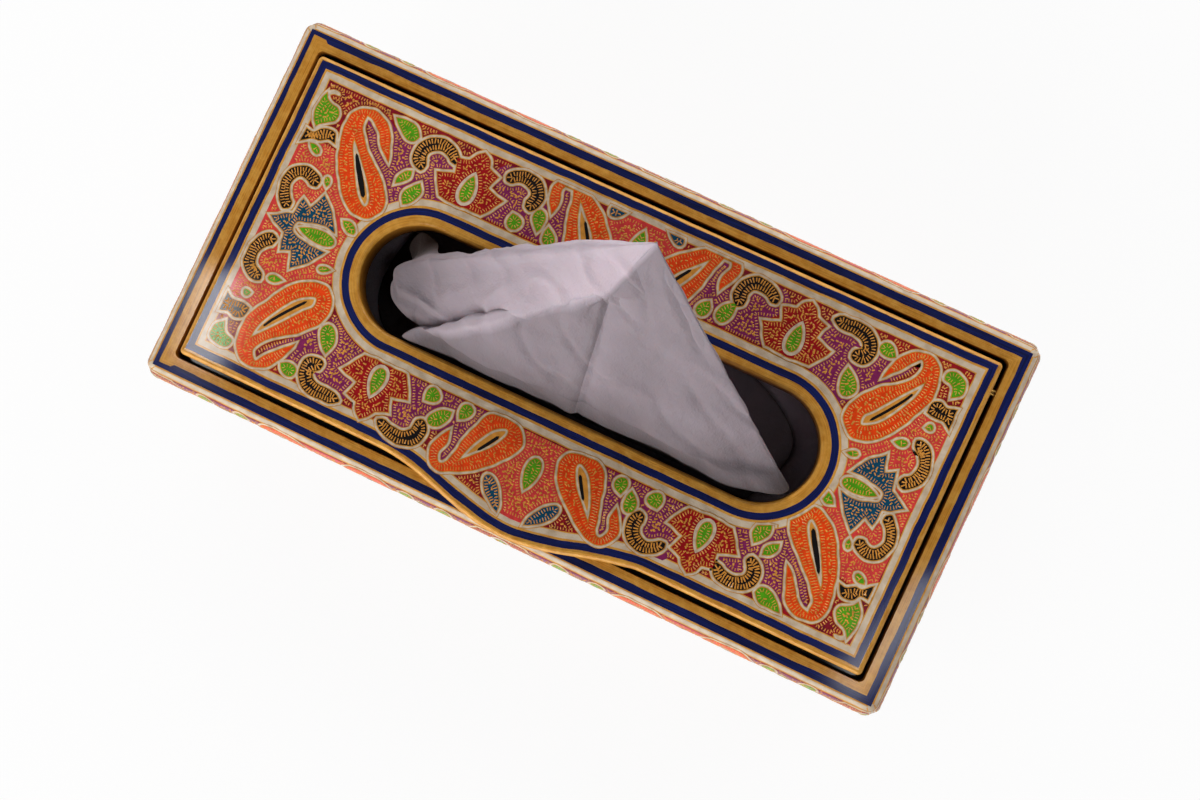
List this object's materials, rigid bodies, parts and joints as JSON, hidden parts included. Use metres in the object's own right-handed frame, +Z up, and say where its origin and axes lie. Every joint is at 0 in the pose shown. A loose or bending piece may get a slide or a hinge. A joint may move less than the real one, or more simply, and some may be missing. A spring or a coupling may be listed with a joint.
{
  "type": "tissue box",
  "caption": "Long painted tissue box with a hinged inset lid, finger lip, rounded slot and a folded tissue pulled up through it.",
  "frame": {"origin": "middle of the underside, on the table", "axes": "+X along the box, -Y towards the finger lip at the front, +Z up"},
  "size_m": [0.271, 0.134, 0.1769],
  "materials": {
    "painted_box": "gloss",
    "painted_lid": "gloss",
    "hinge_pin": "satin",
    "tissue_paper": "matte"
  },
  "bodies": {
    "box": {"box_body": "painted_box", "hinge_pin_left": "hinge_pin", "hinge_pin_right": "hinge_pin", "tissue_stack": "tissue_paper"},
    "lid": {"lid": "painted_lid", "pulled_tissue": "tissue_paper"}
  },
  "joints": [
    {"name": "lid_hinge", "type": "hinge", "parent": "box", "child": "lid", "pos_m": [0, 0.04609, 0.0844], "axis": [-1, 0, 0], "range_deg": [0, 120]}
  ]
}
